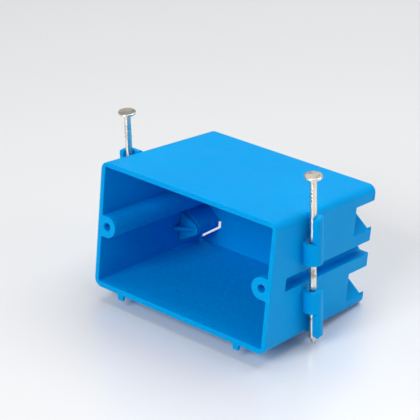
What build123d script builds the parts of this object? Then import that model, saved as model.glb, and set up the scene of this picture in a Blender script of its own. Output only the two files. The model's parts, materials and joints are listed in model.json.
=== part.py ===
from build123d import *
import os
from math import cos, radians, sin, sqrt

# Single-gang wall box for new work, moulded in one piece, with two captive nails.
# Frame: X runs along the long side, the open front faces -Y, +Z points away from the stud side.
# The origin is on the ground below the middle of the box, level with the nail points.

os.makedirs("parts", exist_ok=True)

# Shell, outside
LENGTH = 93.0
HEIGHT = 57.2
DEPTH = 71.5
BACK_LENGTH = 91.4
BACK_HEIGHT = 55.2
OUTER_CORNER_R = 3.6
BACK_EDGE_R = 1.0

# Shell, walls
END_WALL = 2.0
TOP_WALL = 2.1
STUD_WALL = 2.3
BACK_WALL = 2.0
INNER_CORNER_R = 0.8

# Placing of the shell in the frame
STUD_SIDE_Z = 3.6
FRONT_Y = -DEPTH / 2
BACK_Y = FRONT_Y + DEPTH
MIDDLE_Z = STUD_SIDE_Z + HEIGHT / 2

# Screw bosses for the wiring device, and the groove that cores out each boss from behind
SCREW_SPACING = 83.3
SCREW_HOLE_R = 1.7
SCREW_HOLE_CHAMFER = 0.35
BOSS_R = 4.8
BOSS_ROOT_X = 44.9
BOSS_Z = STUD_SIDE_Z + 28.2
BOSS_SOLID = 10.2
GROOVE_HEIGHT = 6.0
GROOVE_FLOOR_X = 39.8
GROOVE_CORNER_R = 1.8

# Cable entries: a V-shaped trough along each back corner of the end walls, open to the back.
# Heights here are measured from the upper edge of the window in the end wall.
ENTRY_TOP_Z = (STUD_SIDE_Z + 19.3, STUD_SIDE_Z + 49.6)
WINDOW_FRONT_Y = FRONT_Y + 57.2
HOOD_FRONT_Y = FRONT_Y + 55.4
HOOD_WALL = 1.7
HOOD_NOSE_X = 34.4
HOOD_NOSE_TOP = -3.4
HOOD_NOSE_BOTTOM = -6.8
HOOD_UPPER_SLOPE = 0.73
HOOD_LOWER_SLOPE = 0.75
HOOD_REACH_X = 44.8
SLIT_START_Y = FRONT_Y + 69.0
SLIT_NOSE = 1.0
SLIT_LEG = 1.1
SILL_Z = -12.5

# Cable clamp tongues
TONGUE_THICK = 1.2
TONGUE_ROOT_R = 0.85
TONGUE_HINGE_X = 35.4
TONGUE_HINGE_GAP = 0.15
TONGUE_FREE_Y = FRONT_Y + 53.0
TONGUE_WALL_GAP = 0.35
TONGUE_LAP = 0.4
TONGUE_RIB = 1.5
TONGUE_RIB_REACH = 5.2
TONGUE_RIB_Z = -4.9

# Nails
NAIL_R = 1.5
NAIL_LENGTH = 79.4
NAIL_HEAD_R = 3.8
NAIL_HEAD_THICK = 1.1
NAIL_HEAD_ROUND = 0.3
NAIL_NECK = 0.9
NAIL_POINT = 4.2
NAIL_POINT_FLAT = 0.2
NAIL_LEAN = 9.4
NAIL_X = 49.2
NAIL_TIP_Y = FRONT_Y + 30.2
GRIP_COUNT = 4
GRIP_PITCH = 1.6
GRIP_DEPTH = 0.18
GRIP_WIDTH = 0.5
GRIP_START = 5.0

# Nail holders: half channels down each end wall that hold the nail from alternate sides.
# The heights are those of each channel's foot and head above the stud side.
HOLDER_R = 4.2
HOLDER_BORE_R = NAIL_R + 0.05
HOLDER_ROOT_X = 45.0
LIPS = ((44.9, 56.6), (0.4, 13.5))
LIP_END_R = ((1.6, 2.2), (3.0, 1.6))
LIP_CREST_R = (1.8, 2.5)
LIP_FRONT = 2.3
LIP_MARGIN = 0.05
HOOPS = ((35.6, 45.2), (13.2, 22.9))
HOOP_BACK = 2.0
HOOP_FRONT_GAP = 1.0
HOOP_SIDE_GAP = 0.3
HOOP_MOUTH_WIDTH = 4.35
HOOP_MOUTH_R = 2.0
HOOP_ROOT = 1.2

# Stand-off nibs under the front edge
NIB_X = 31.6
NIB_WIDTH = 3.6
NIB_DEPTH = 1.8
NIB_HEIGHT = 2.8
NIB_TAPER = 6

SIDES = (-1, 1)


def facing_front(y):
    """Plane across the box at depth y: local x is X, local y is Z, and the normal points at -Y."""
    return Plane.XZ.offset(-y)


def end_wall_inner_x(y):
    """Half-width of the inside of the shell at depth y."""
    share = (y - FRONT_Y) / DEPTH
    return (LENGTH + (BACK_LENGTH - LENGTH) * share) / 2 - END_WALL


def nail_plane(side):
    """Plane square to a nail at its tip: local x is X, local y points back, local z runs up the nail."""
    lean = radians(NAIL_LEAN)
    return Plane(origin=(side * NAIL_X, NAIL_TIP_Y, 0), x_dir=(1, 0, 0), z_dir=(0, -sin(lean), cos(lean)))


def along_nail(z):
    """Distance up the nail from its tip to height z above the stud side of the shell."""
    return (STUD_SIDE_Z + z) / cos(radians(NAIL_LEAN))


def side_plane(side):
    """Plane along a nail, seen from +X: local x points back and local y runs up the nail from its tip."""
    base = nail_plane(side)
    return Plane(origin=base.origin, x_dir=base.y_dir, z_dir=(1, 0, 0))


def front_plane(side):
    """Plane along a nail, seen from the front: local x is X and local y runs up the nail from its tip."""
    base = nail_plane(side)
    return Plane(origin=base.origin, x_dir=base.x_dir, z_dir=-base.y_dir)


def ceiling_z(x):
    """Height of a trough's ceiling at half-width x."""
    return HOOD_NOSE_TOP + HOOD_UPPER_SLOPE * (x - HOOD_NOSE_X) - HOOD_WALL * sqrt(1 + HOOD_UPPER_SLOPE**2)


def floor_z(x):
    """Height of a trough's floor at half-width x."""
    return HOOD_NOSE_BOTTOM - HOOD_LOWER_SLOPE * (x - HOOD_NOSE_X) + HOOD_WALL * sqrt(1 + HOOD_LOWER_SLOPE**2)


def slit_z(x):
    """Height of the lower edge of the slit under a hood's lower leg at half-width x."""
    return HOOD_NOSE_BOTTOM - SLIT_LEG - HOOD_LOWER_SLOPE * (x - HOOD_NOSE_X)


def placed(points, side, top):
    """Half-width and height pairs of one cable entry, moved to its side of the box and its height."""
    return [(side * x, top + z) for x, z in points]


# Outlines of one cable entry, as half-width and height from the upper edge of its window
trough_nose_x = HOOD_NOSE_X + HOOD_WALL
trough_root_x = end_wall_inner_x(WINDOW_FRONT_Y)
outside_x = LENGTH / 2 + OUTER_CORNER_R
slit_nose_x = HOOD_NOSE_X - SLIT_NOSE
window_root_x = trough_root_x - END_WALL / 2
sill_x = HOOD_NOSE_X + (floor_z(HOOD_NOSE_X) - SILL_Z) / HOOD_LOWER_SLOPE

hood_outline = [
    (HOOD_REACH_X, HOOD_NOSE_TOP + HOOD_UPPER_SLOPE * (HOOD_REACH_X - HOOD_NOSE_X)),
    (HOOD_NOSE_X, HOOD_NOSE_TOP),
    (HOOD_NOSE_X, HOOD_NOSE_BOTTOM),
    (HOOD_REACH_X, HOOD_NOSE_BOTTOM - HOOD_LOWER_SLOPE * (HOOD_REACH_X - HOOD_NOSE_X)),
]
trough_outline = [
    (trough_root_x, ceiling_z(trough_root_x)),
    (trough_nose_x, ceiling_z(trough_nose_x)),
    (trough_nose_x, floor_z(trough_nose_x)),
    (trough_root_x, floor_z(trough_root_x)),
]
window_outline = [
    (window_root_x, 0),
    (outside_x, 0),
    (outside_x, floor_z(outside_x)),
    (window_root_x, floor_z(window_root_x)),
]
back_window_outline = [
    (window_root_x, 0),
    (outside_x, 0),
    (outside_x, SILL_Z),
    (sill_x, SILL_Z),
    (window_root_x, floor_z(window_root_x)),
]
slit_outline = [
    (trough_nose_x + HOOD_WALL, ceiling_z(trough_nose_x)),
    (slit_nose_x, ceiling_z(trough_nose_x)),
    (slit_nose_x, slit_z(slit_nose_x)),
    (sill_x, slit_z(sill_x)),
    (sill_x, SILL_Z),
    (trough_nose_x + HOOD_WALL, floor_z(trough_nose_x + HOOD_WALL)),
]

# Lips of the nail holders: a web behind the nail and a leg along its outer side, with rounded ends.
# Each runs a little way over the hoop next to it.
holder_reach = NAIL_X - HOLDER_ROOT_X
mouth = 3 * HOLDER_R
lip_width = LIP_FRONT + HOLDER_R + 2 * LIP_MARGIN
lips = []
for side in SIDES:
    for (foot, head), (foot_r, head_r), crest_r, free_end in zip(LIPS, LIP_END_R, LIP_CREST_R, (-1, 0)):
        start = along_nail(foot)
        length = along_nail(head) - start
        with BuildPart() as lip:
            with BuildSketch(nail_plane(side).offset(start)):
                Circle(HOLDER_R)
                with Locations((-side * holder_reach / 2, HOLDER_R / 2)):
                    Rectangle(holder_reach, HOLDER_R)
                with Locations((0, -LIP_FRONT - HOLDER_R)):
                    Rectangle(4 * HOLDER_R, 2 * HOLDER_R, mode=Mode.SUBTRACT)
                with Locations((side * (HOLDER_BORE_R - mouth / 2), HOLDER_BORE_R - mouth / 2)):
                    RectangleRounded(mouth, mouth, HOLDER_BORE_R, mode=Mode.SUBTRACT)
            extrude(amount=length)
            # The outline stands a hair outside the lip's front and back
            with BuildSketch(side_plane(side).offset(-2 * HOLDER_R)) as outline:
                with Locations(((HOLDER_R - LIP_FRONT) / 2, start + length / 2)):
                    Rectangle(lip_width, length)
                fillet(outline.vertices().group_by(Axis.Y)[0], foot_r)
                fillet(outline.vertices().group_by(Axis.Y)[-1], head_r)
            extrude(amount=4 * HOLDER_R, mode=Mode.INTERSECT)
            # The free end is rounded on its outer side too
            with BuildSketch(front_plane(side).offset(-2 * HOLDER_R)) as crest:
                with Locations((side * (HOLDER_R + LIP_MARGIN - mouth / 2), start + length / 2)):
                    Rectangle(mouth, length)
                crest_end = crest.vertices().group_by(Axis.Y)[free_end]
                fillet(crest_end.sort_by(Axis.X)[-1 if side > 0 else 0], crest_r)
            extrude(amount=4 * HOLDER_R, mode=Mode.INTERSECT)
        lips.append(lip.part)

# The moulding: shell, screw bosses, cable hoods, nail holders and stand-off nibs in one solid
with BuildPart() as box_body:
    # Outside of the shell, drafted towards the back
    with BuildSketch(facing_front(FRONT_Y)):
        with Locations((0, MIDDLE_Z)):
            RectangleRounded(LENGTH, HEIGHT, OUTER_CORNER_R)
    with BuildSketch(facing_front(BACK_Y)):
        with Locations((0, MIDDLE_Z)):
            RectangleRounded(BACK_LENGTH, BACK_HEIGHT, OUTER_CORNER_R)
    loft(ruled=True)
    fillet(box_body.faces().sort_by(Axis.Y)[-1].edges(), BACK_EDGE_R)

    # Hollow of the shell
    cavity_z = MIDDLE_Z + (STUD_WALL - TOP_WALL) / 2
    with BuildSketch(facing_front(FRONT_Y)):
        with Locations((0, cavity_z)):
            RectangleRounded(LENGTH - 2 * END_WALL, HEIGHT - TOP_WALL - STUD_WALL, INNER_CORNER_R)
    with BuildSketch(facing_front(BACK_Y - BACK_WALL)):
        with Locations((0, cavity_z)):
            RectangleRounded(BACK_LENGTH - 2 * END_WALL, BACK_HEIGHT - TOP_WALL - STUD_WALL, INNER_CORNER_R)
    loft(ruled=True, mode=Mode.SUBTRACT)

    # Screw bosses: half-round columns along the inside of the end walls
    with BuildSketch(facing_front(FRONT_Y)):
        for side in SIDES:
            with Locations((side * SCREW_SPACING / 2, BOSS_Z)):
                Circle(BOSS_R)
        # A column is square from its middle to the wall, and nothing of it stands outside the wall
        boss_web = BOSS_ROOT_X - SCREW_SPACING / 2
        with Locations(*[(side * (BOSS_ROOT_X - boss_web / 2), BOSS_Z) for side in SIDES]):
            Rectangle(boss_web, 2 * BOSS_R)
        with Locations((0, BOSS_Z)):
            Rectangle(2 * BOSS_ROOT_X, 2 * BOSS_R, mode=Mode.INTERSECT)
    extrude(amount=-(DEPTH - BACK_WALL / 2))

    # Groove behind each boss, open to the side and to the back
    with BuildSketch(facing_front(FRONT_Y + BOSS_SOLID)):
        with Locations(*[(side * outside_x, BOSS_Z) for side in SIDES]):
            RectangleRounded(2 * (outside_x - GROOVE_FLOOR_X), GROOVE_HEIGHT, GROOVE_CORNER_R)
    extrude(amount=-DEPTH, mode=Mode.SUBTRACT)

    # Screw holes, from the front into the grooves, eased at the mouth
    with BuildSketch(facing_front(FRONT_Y)):
        with Locations(*[(side * SCREW_SPACING / 2, BOSS_Z) for side in SIDES]):
            Circle(SCREW_HOLE_R)
    extrude(amount=-(BOSS_SOLID + GROOVE_HEIGHT / 2), mode=Mode.SUBTRACT)
    screw_holes = box_body.edges().filter_by(GeomType.CIRCLE).filter_by(lambda e: e.radius == SCREW_HOLE_R)
    chamfer(screw_holes.group_by(Axis.Y)[0], SCREW_HOLE_CHAMFER)

    # Cable hoods, standing along the inside of the end walls
    with BuildSketch(facing_front(HOOD_FRONT_Y)):
        for side in SIDES:
            for top in ENTRY_TOP_Z:
                with BuildLine():
                    Polyline(*placed(hood_outline, side, top), close=True)
                make_face()
    extrude(amount=-(BACK_Y - BACK_WALL / 2 - HOOD_FRONT_Y))

    # Their hollows, and the windows in the end walls that open them to the side
    cuts = (
        (trough_outline, HOOD_FRONT_Y, BACK_Y + BACK_WALL),
        (window_outline, WINDOW_FRONT_Y, BACK_Y - BACK_WALL),
        (back_window_outline, BACK_Y - BACK_WALL, BACK_Y + BACK_WALL),
        (slit_outline, SLIT_START_Y, BACK_Y + BACK_WALL),
    )
    for outline, start, end in cuts:
        with BuildSketch(facing_front(start)):
            for side in SIDES:
                for top in ENTRY_TOP_Z:
                    with BuildLine():
                        Polyline(*placed(outline, side, top), close=True)
                    make_face()
        extrude(amount=-(end - start), mode=Mode.SUBTRACT)

    # Nail holders: the lips, and hoops that pass in front of the nail and are open to the back
    add(lips)
    hoop_front = NAIL_R + HOOP_FRONT_GAP
    hoop_side = NAIL_R + HOOP_SIDE_GAP
    for side in SIDES:
        for foot, head in HOOPS:
            with BuildSketch(nail_plane(side).offset(along_nail(foot))):
                Circle(HOLDER_R)
                with Locations((0, HOOP_BACK + HOLDER_R)):
                    Rectangle(4 * HOLDER_R, 2 * HOLDER_R, mode=Mode.SUBTRACT)
                with Locations((side * (hoop_side - HOOP_MOUTH_WIDTH / 2), mouth / 2 - hoop_front)):
                    RectangleRounded(HOOP_MOUTH_WIDTH, mouth, HOOP_MOUTH_R, mode=Mode.SUBTRACT)
                with Locations((-side * mouth / 2, mouth / 2 - HOOP_ROOT)):
                    Rectangle(mouth, mouth, mode=Mode.SUBTRACT)
            extrude(amount=along_nail(head) - along_nail(foot))

    # Stand-off nibs under the front edge
    with BuildSketch(Plane.XY.offset(STUD_SIDE_Z + STUD_WALL / 2)):
        with Locations(*[(side * NIB_X, FRONT_Y + NIB_DEPTH / 2) for side in SIDES]):
            Rectangle(NIB_WIDTH, NIB_DEPTH)
    extrude(amount=-(NIB_HEIGHT + STUD_WALL / 2), taper=NIB_TAPER)

box_body.part.label = "box_body"
export_step(box_body.part, "parts/box_body.step")

# Cable clamp tongues: one in the mouth of each trough, hinged on the nose of its hood
tongue_names = {
    (-1, 0): "cable_clamp_left_lower",
    (-1, 1): "cable_clamp_left_upper",
    (1, 0): "cable_clamp_right_lower",
    (1, 1): "cable_clamp_right_upper",
}
hinge_y = HOOD_FRONT_Y - TONGUE_HINGE_GAP - TONGUE_ROOT_R
free_x = end_wall_inner_x(TONGUE_FREE_Y) - TONGUE_WALL_GAP
rib_tip_y = TONGUE_FREE_Y - TONGUE_RIB_REACH
half_thick = TONGUE_THICK / 2
root_x = TONGUE_HINGE_X - TONGUE_ROOT_R
root_height = HOOD_NOSE_TOP - HOOD_NOSE_BOTTOM
tongue_top = ceiling_z(trough_root_x) + TONGUE_LAP
tongue_bottom = floor_z(trough_root_x) - TONGUE_LAP

# Outlines as half-width and depth, or as half-width and height from the upper edge of the window
tongue_plan = [
    (TONGUE_HINGE_X, hinge_y + half_thick),
    (free_x, hinge_y + half_thick),
    (free_x, TONGUE_FREE_Y - half_thick),
    (TONGUE_HINGE_X, hinge_y - half_thick),
]
rib_plan = [
    (TONGUE_HINGE_X, hinge_y),
    (free_x, TONGUE_FREE_Y),
    (free_x, rib_tip_y),
    (free_x - half_thick, rib_tip_y),
    (TONGUE_HINGE_X, hinge_y - TONGUE_ROOT_R),
]
tongue_face = [
    (root_x, HOOD_NOSE_TOP),
    (trough_root_x, tongue_top),
    (trough_root_x, tongue_bottom),
    (root_x, HOOD_NOSE_BOTTOM),
]

for (side, level), name in tongue_names.items():
    top = ENTRY_TOP_Z[level]
    with BuildPart() as tongue:
        # Plate, from the hinge to the end wall, trimmed to just cover the mouth of the trough
        with BuildSketch(Plane.XY.offset(top + tongue_top + TONGUE_LAP)):
            with BuildLine():
                Polyline(*[(side * x, y) for x, y in tongue_plan], close=True)
            make_face()
        extrude(amount=tongue_bottom - tongue_top - 2 * TONGUE_LAP)
        with BuildSketch(facing_front(FRONT_Y)):
            with BuildLine():
                Polyline(*placed(tongue_face, side, top), close=True)
            make_face()
        extrude(amount=-DEPTH, mode=Mode.INTERSECT)
        # Root along the nose
        with BuildSketch(Plane.XY.offset(top + HOOD_NOSE_BOTTOM)):
            with Locations((side * TONGUE_HINGE_X, hinge_y)):
                Circle(TONGUE_ROOT_R)
        extrude(amount=root_height)
        # Stiffening rib, rising towards the end wall
        with BuildSketch(Plane.XY.offset(top + TONGUE_RIB_Z - TONGUE_RIB / 2)):
            with BuildLine():
                Polyline(*[(side * x, y) for x, y in rib_plan], close=True)
            make_face()
        extrude(amount=TONGUE_RIB)
    tongue.part.label = name
    export_step(tongue.part, "parts/" + name + ".step")

# Nails: flat head on a flared neck, grip marks on the shank under it, and a four-sided point
for side, name in ((-1, "nail_left"), (1, "nail_right")):
    base = nail_plane(side)
    head_start = NAIL_LENGTH - NAIL_HEAD_THICK
    with BuildPart() as nail:
        # Point
        with BuildSketch(base):
            Rectangle(NAIL_POINT_FLAT, NAIL_POINT_FLAT)
        with BuildSketch(base.offset(NAIL_POINT)):
            Rectangle(2 * NAIL_R, 2 * NAIL_R)
        loft(ruled=True)
        with BuildSketch(base):
            Circle(NAIL_R)
        extrude(amount=NAIL_POINT, mode=Mode.INTERSECT)
        # Shank and neck
        with BuildSketch(base.offset(NAIL_POINT)):
            Circle(NAIL_R)
        extrude(amount=head_start - NAIL_POINT)
        with BuildSketch(base.offset(head_start - NAIL_NECK)):
            Circle(NAIL_R)
        with BuildSketch(base.offset(head_start)):
            Circle(NAIL_R + NAIL_NECK)
        loft(ruled=True)
        # Grip marks
        for mark in range(GRIP_COUNT):
            with BuildSketch(base.offset(head_start - GRIP_START - mark * GRIP_PITCH)):
                with Locations((0, -NAIL_R), (0, NAIL_R)):
                    Rectangle(2 * NAIL_R, 2 * GRIP_DEPTH)
            extrude(amount=-GRIP_WIDTH, mode=Mode.SUBTRACT)
        # Head
        with BuildSketch(base.offset(head_start)):
            Circle(NAIL_HEAD_R)
        extrude(amount=NAIL_HEAD_THICK)
        head_edges = nail.edges().filter_by(GeomType.CIRCLE).filter_by(lambda e: e.radius == NAIL_HEAD_R)
        fillet(head_edges, NAIL_HEAD_ROUND)
    nail.part.label = name
    export_step(nail.part, "parts/" + name + ".step")
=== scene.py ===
import json
import math

import bpy
from mathutils import Matrix, Vector


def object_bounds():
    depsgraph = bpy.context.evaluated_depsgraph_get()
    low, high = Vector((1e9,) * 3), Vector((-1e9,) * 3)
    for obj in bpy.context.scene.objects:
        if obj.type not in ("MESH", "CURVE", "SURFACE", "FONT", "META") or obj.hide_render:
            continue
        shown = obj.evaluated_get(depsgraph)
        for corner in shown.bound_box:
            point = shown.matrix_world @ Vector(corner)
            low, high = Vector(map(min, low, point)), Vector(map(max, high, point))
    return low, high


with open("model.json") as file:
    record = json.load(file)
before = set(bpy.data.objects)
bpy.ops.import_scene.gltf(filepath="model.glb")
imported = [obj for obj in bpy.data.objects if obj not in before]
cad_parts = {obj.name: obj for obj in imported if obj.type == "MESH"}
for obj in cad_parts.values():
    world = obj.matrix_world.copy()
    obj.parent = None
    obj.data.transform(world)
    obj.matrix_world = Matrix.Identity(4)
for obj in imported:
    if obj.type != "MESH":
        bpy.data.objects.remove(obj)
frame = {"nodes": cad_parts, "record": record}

CAD_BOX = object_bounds()

# Camera, as angles about the box in degrees, with distances in metres
VIEW_AZIMUTH = 37.5
VIEW_ELEVATION = 21.4
VIEW_ROLL = -4.8
VIEW_DISTANCE = 0.69
VIEW_AIM = Vector((0.0, -0.0189, 0.0089))
LENS_MM = 142.2
SENSOR_MM = 36.0

# Softboxes: place and side in metres, then watts
SOFTBOXES = {
    "overhead": ((0.0, 0.3, 1.2), 1.2, 11.2),
    "front": ((0.0, -1.22, 0.66), 0.6, 10.5),
    "side": ((1.2, 0.5, 0.6), 0.8, 3.4),
}
SKY = (0.97, 0.98, 1.0)
SKY_STRENGTH = 0.3

# Colours are linear
PLASTIC_BLUE = (0.0, 0.36, 0.82)
PLASTIC_DEEP = (0.0, 0.335, 0.79)
# Pale tone for the specks, and for the painted highlight on the edges
PLASTIC_PALE = (0.0, 0.43, 0.85)
PLASTIC_GLOSS = (0.0, 1.0, 0.4)
PLASTIC_GLOW = (0.0, 0.45, 1.0)
STEEL_LIGHT = (0.76, 0.685, 0.575)
STEEL_DARK = (0.20, 0.17, 0.14)
STEEL_RUB = (0.90, 0.86, 0.78)
FLOOR_PALE = (0.90, 0.90, 0.90)
FLOOR_COOL = (0.87, 0.875, 0.885)

# Noise patterns: scale, detail, roughness
FLOW = (22.0, 3.0, 0.55)
SPECK = (1400.0, 2.0, 0.5)
# Pattern that breaks up the pale edges, which are a painted highlight as well as wear
WEAR_AND_HIGHLIGHT = (160.0, 4.0, 0.6)
HAZE = (70.0, 4.0, 0.6)
SINK = (38.0, 1.0, 0.5)
MOULD_GRAIN = (2200.0, 3.0, 0.6)
DRAWN_LINES = (1.0, 3.0, 0.6)
PATCHES = (240.0, 4.0, 0.6)
FLOOR_MOTTLE = (3.0, 3.0, 0.5)
FLOOR_HAZE = (8.0, 3.0, 0.5)
FLOOR_GRAIN = (1500.0, 2.0, 0.5)

# The part of a pattern's range that is stretched
FLOW_SPAN = (0.35, 0.65)
SPECK_SPAN = (0.55, 0.8)
# Range of the edge pattern, for the painted edge highlight and wear
WEAR_AND_HIGHLIGHT_SPAN = (0.3, 0.7)
HAZE_SPAN = (0.3, 0.7)
LINE_SPAN = (0.35, 0.75)
DULL_SPAN = (0.58, 0.75)
PATCH_SPAN = (0.35, 0.7)
# Cosine between the true and the rounded normal, from flat to edge
EDGE_SPAN = (0.995, 0.85)
FULL = (0.0, 1.0)

# Finishes: shares and roughnesses from 0 to 1, depths and radii in metres
PLASTIC_EDGE_R = 0.0005
PLASTIC_ROUGHNESS = (0.36, 0.5)
PLASTIC_SPECULAR = 0.1
SPECK_SHARE = (0.0, 0.12)
# How strongly the edges are painted paler, as a painted highlight and as wear
WEAR_AND_HIGHLIGHT_SHARE = (0.25, 0.75)
GLOW_SHARE = 0.35
GLOW_DEPTH = 0.004
SINK_DEPTH = 0.0004
MOULD_GRAIN_DEPTH = 0.00003
PLASTIC_BUMP = 0.35

STEEL_EDGE_R = 0.0003
STEEL_ROUGHNESS = (0.22, 0.44)
DULL_SHARE = (0.0, 0.7)
DRAWING_STRETCH = (2600.0, 2600.0, 60.0)
PATCH_DEPTH = 0.00005
LINE_DEPTH = 0.00002
STEEL_BUMP = 0.3

FLOOR_HALF = 4.0
FLOOR_ROUGHNESS = (0.22, 0.26)
FLOOR_SPECULAR = 1.0
FLOOR_COAT = 0.7
FLOOR_COAT_ROUGHNESS = 0.25
FLOOR_GRAIN_DEPTH = 0.00005
FLOOR_BUMP = 0.05

BEVEL_SAMPLES = 6
# How far apart in its patterns each piece is from the next
PATTERN_SHIFT = 0.37


class Nodes:
    """One material's node tree, built up a node at a time."""

    def __init__(self, name):
        self.material = bpy.data.materials.new(name)
        self.material.use_nodes = True
        self.tree = self.material.node_tree
        self.shader = self.tree.nodes["Principled BSDF"]

    def put(self, node, socket, value):
        """Links an output to an input, or sets the input to a plain value."""
        if isinstance(value, bpy.types.NodeSocket):
            self.tree.links.new(value, node.inputs[socket])
        else:
            node.inputs[socket].default_value = value

    def fill(self, node, inputs):
        """Links or sets a node's inputs by name."""
        for key, value in inputs.items():
            self.put(node, key.replace("_", " "), value)

    def add(self, kind, settings=None, **inputs):
        """Adds a node, sets its properties, and fills its inputs."""
        node = self.tree.nodes.new("ShaderNode" + kind)
        for key, value in (settings or {}).items():
            setattr(node, key, value)
        self.fill(node, inputs)
        return node

    def shade(self, **inputs):
        """Fills the shader's inputs."""
        self.fill(self.shader, inputs)

    def shifted(self, shift):
        """The object's own coordinates, moved so that each piece gets its own patterns."""
        here = self.add("TexCoord").outputs["Object"]
        return self.add("Mapping", Vector=here, Location=(shift, shift, shift)).outputs["Vector"]

    def noise(self, where, pattern):
        """A noise pattern, from 0 to 1."""
        scale, detail, roughness = pattern
        node = self.add("TexNoise", Vector=where, Scale=scale, Detail=detail, Roughness=roughness)
        return node.outputs["Fac"]

    def spread(self, value, span, to=FULL):
        """The value with one span stretched to another, held at the ends."""
        node = self.add("MapRange", Value=value, From_Min=span[0], From_Max=span[1])
        self.fill(node, {"To_Min": to[0], "To_Max": to[1]})
        return node.outputs["Result"]

    def mix(self, share, first, second):
        """A colour between two colours."""
        node = self.add("Mix", {"data_type": "RGBA"}, Factor=share)
        for socket, value in (("A", first), ("B", second)):
            target = [i for i in node.inputs if i.name == socket and i.type == "RGBA"][0]
            if isinstance(value, bpy.types.NodeSocket):
                self.tree.links.new(value, target)
            else:
                target.default_value = (*value, 1.0)
        return [o for o in node.outputs if o.type == "RGBA"][0]

    def edges(self, radius):
        """(edge mask, normal rounded over edges of that radius)."""
        rounded = self.add("Bevel", {"samples": BEVEL_SAMPLES}, Radius=radius).outputs["Normal"]
        true = self.add("NewGeometry").outputs["Normal"]
        cosine = self.add("VectorMath", {"operation": "DOT_PRODUCT"})
        self.put(cosine, 0, rounded)
        self.put(cosine, 1, true)
        return self.spread(cosine.outputs["Value"], EDGE_SPAN), rounded

    def bump(self, height, depth, strength, **under):
        """A normal raised by the height pattern, over another normal where one is given."""
        node = self.add("Bump", Strength=strength, Distance=depth, Height=height, **under)
        return node.outputs["Normal"]


def plastic(name, shift):
    """Blue moulded plastic: faint flow mottling, fine mould grain, soft edges painted paler,
    partly a painted highlight from their rounding and partly rubbed.
    """
    m = Nodes(name)
    where = m.shifted(shift)
    edge, rounded = m.edges(PLASTIC_EDGE_R)

    tint = m.mix(m.spread(m.noise(where, FLOW), FLOW_SPAN), PLASTIC_DEEP, PLASTIC_BLUE)
    tint = m.mix(m.spread(m.noise(where, SPECK), SPECK_SPAN, SPECK_SHARE), tint, PLASTIC_PALE)
    # Edges painted paler: a painted highlight standing in for light on their rounding, partly
    # also wear, broken up by a pattern
    edge_highlight_and_wear = m.add("Math", {"operation": "MULTIPLY"})
    m.put(edge_highlight_and_wear, 0, edge)
    m.put(edge_highlight_and_wear, 1, m.spread(m.noise(where, WEAR_AND_HIGHLIGHT), WEAR_AND_HIGHLIGHT_SPAN, WEAR_AND_HIGHLIGHT_SHARE))
    m.shade(
        Base_Color=m.mix(edge_highlight_and_wear.outputs["Value"], tint, PLASTIC_PALE),
        Roughness=m.spread(m.noise(where, HAZE), HAZE_SPAN, PLASTIC_ROUGHNESS),
        Specular_IOR_Level=PLASTIC_SPECULAR,
        Specular_Tint=(*PLASTIC_GLOSS, 1.0),
    )
    # Light soaks through the thin walls
    m.shade(
        Subsurface_Weight=GLOW_SHARE,
        Subsurface_Radius=PLASTIC_GLOW,
        Subsurface_Scale=GLOW_DEPTH,
    )

    sunk = m.bump(m.noise(where, SINK), SINK_DEPTH, PLASTIC_BUMP, Normal=rounded)
    grained = m.bump(m.noise(where, MOULD_GRAIN), MOULD_GRAIN_DEPTH, PLASTIC_BUMP, Normal=sunk)
    m.shade(Normal=grained)
    return m.material


def steel(name, shift):
    """Bright nail wire: drawing lines along the shank, dull patches, rubbed edges."""
    m = Nodes(name)
    where = m.shifted(shift)
    drawn = m.add("Mapping", Vector=where, Scale=DRAWING_STRETCH).outputs["Vector"]
    edge, rounded = m.edges(STEEL_EDGE_R)
    lines = m.noise(drawn, DRAWN_LINES)
    patches = m.noise(where, PATCHES)

    tint = m.mix(m.spread(lines, LINE_SPAN), STEEL_LIGHT, STEEL_RUB)
    tint = m.mix(m.spread(patches, DULL_SPAN, DULL_SHARE), tint, STEEL_DARK)
    m.shade(
        Base_Color=m.mix(edge, tint, STEEL_RUB),
        Roughness=m.spread(patches, PATCH_SPAN, STEEL_ROUGHNESS),
        Metallic=1.0,
    )

    patched = m.bump(patches, PATCH_DEPTH, STEEL_BUMP, Normal=rounded)
    m.shade(Normal=m.bump(lines, LINE_DEPTH, STEEL_BUMP, Normal=patched))
    return m.material


def table_top():
    """Pale satin table surface with a faint mottle."""
    m = Nodes("table")
    here = m.add("TexCoord").outputs["Object"]
    m.shade(
        Base_Color=m.mix(m.noise(here, FLOOR_MOTTLE), FLOOR_COOL, FLOOR_PALE),
        Roughness=m.spread(m.noise(here, FLOOR_HAZE), HAZE_SPAN, FLOOR_ROUGHNESS),
        Specular_IOR_Level=FLOOR_SPECULAR,
        Coat_Weight=FLOOR_COAT,
        Coat_Roughness=FLOOR_COAT_ROUGHNESS,
        Normal=m.bump(m.noise(here, FLOOR_GRAIN), FLOOR_GRAIN_DEPTH, FLOOR_BUMP),
    )
    return m.material


def place(obj):
    """Puts a new object in the scene."""
    bpy.context.scene.collection.objects.link(obj)
    return obj


# Materials, one for each node so that the patterns differ
for index, entry in enumerate(frame["record"]["subparts"]):
    node = entry["node"]
    make = steel if entry["material_slot"] == "nail_steel" else plastic
    materials = frame["nodes"][node].data.materials
    materials.clear()
    materials.append(make(node + "_finish", index * PATTERN_SHIFT))


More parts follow.
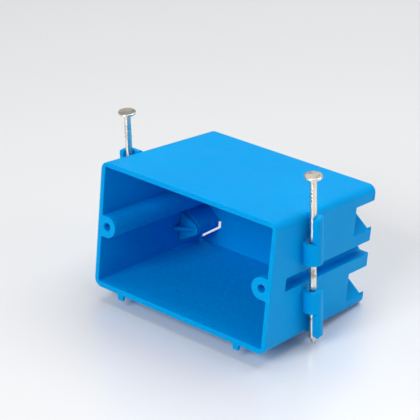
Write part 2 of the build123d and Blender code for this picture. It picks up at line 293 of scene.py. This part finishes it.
# Table: the box leans back on its nail points and its back bottom edge
def resting_plane():
    """(a nail's point, the lean) of the table that the nails and the box's back edge touch."""
    nail = frame["nodes"]["nail_left"].data.vertices
    tip = min((v.co for v in nail), key=lambda co: co.z)
    box = frame["nodes"]["box_body"].data.vertices
    behind = (v.co - tip for v in box if v.co.y > tip.y)
    return tip, min(math.atan2(co.z, co.y) for co in behind)


tip, lean = resting_plane()
floor_mesh = bpy.data.meshes.new("table")
corners = [Vector((x, y, 0.0)) * FLOOR_HALF for x, y in ((-1, -1), (1, -1), (1, 1), (-1, 1))]
floor_mesh.from_pydata(corners, [], [(0, 1, 2, 3)])
floor = place(bpy.data.objects.new("table", floor_mesh))
floor.location = (0.0, tip.y, tip.z)
floor.rotation_euler = (lean, 0.0, 0.0)
floor.data.materials.append(table_top())


# Studio: a wide softbox overhead, one in front, a dim one at the right, and a pale room
middle = (CAD_BOX[0] + CAD_BOX[1]) / 2
for name, (position, size, watts) in SOFTBOXES.items():
    light = bpy.data.lights.new(name, "AREA")
    light.shape = "SQUARE"
    light.size = size
    light.energy = watts
    softbox = place(bpy.data.objects.new(name, light))
    softbox.location = position
    softbox.rotation_euler = (middle - Vector(position)).to_track_quat("-Z", "Y").to_euler()

world = bpy.data.worlds.new("room")
world.use_nodes = True
room = world.node_tree.nodes["Background"].inputs
room["Color"].default_value = (*SKY, 1.0)
room["Strength"].default_value = SKY_STRENGTH
bpy.context.scene.world = world
bpy.context.scene.view_settings.view_transform = "Standard"


# Camera
def camera_matrix():
    """The camera's place and turn, from its angles about the box."""
    angles = (VIEW_AZIMUTH, VIEW_ELEVATION, VIEW_ROLL)
    azimuth, elevation, roll = (math.radians(a) for a in angles)
    forward = Vector((
        -math.sin(azimuth) * math.cos(elevation),
        math.cos(azimuth) * math.cos(elevation),
        -math.sin(elevation),
    ))
    level = forward.cross(Vector((0.0, 0.0, 1.0))).normalized()
    up = level.cross(forward) * math.cos(roll) + level * math.sin(roll)
    right = forward.cross(up)
    turn = Matrix((right, up, -forward)).transposed()
    return Matrix.Translation(middle + VIEW_AIM - forward * VIEW_DISTANCE) @ turn.to_4x4()


camera_data = bpy.data.cameras.new("camera")
camera_data.lens = LENS_MM
camera_data.sensor_width = SENSOR_MM
camera = place(bpy.data.objects.new("camera", camera_data))
camera.matrix_world = camera_matrix()
bpy.context.scene.camera = camera
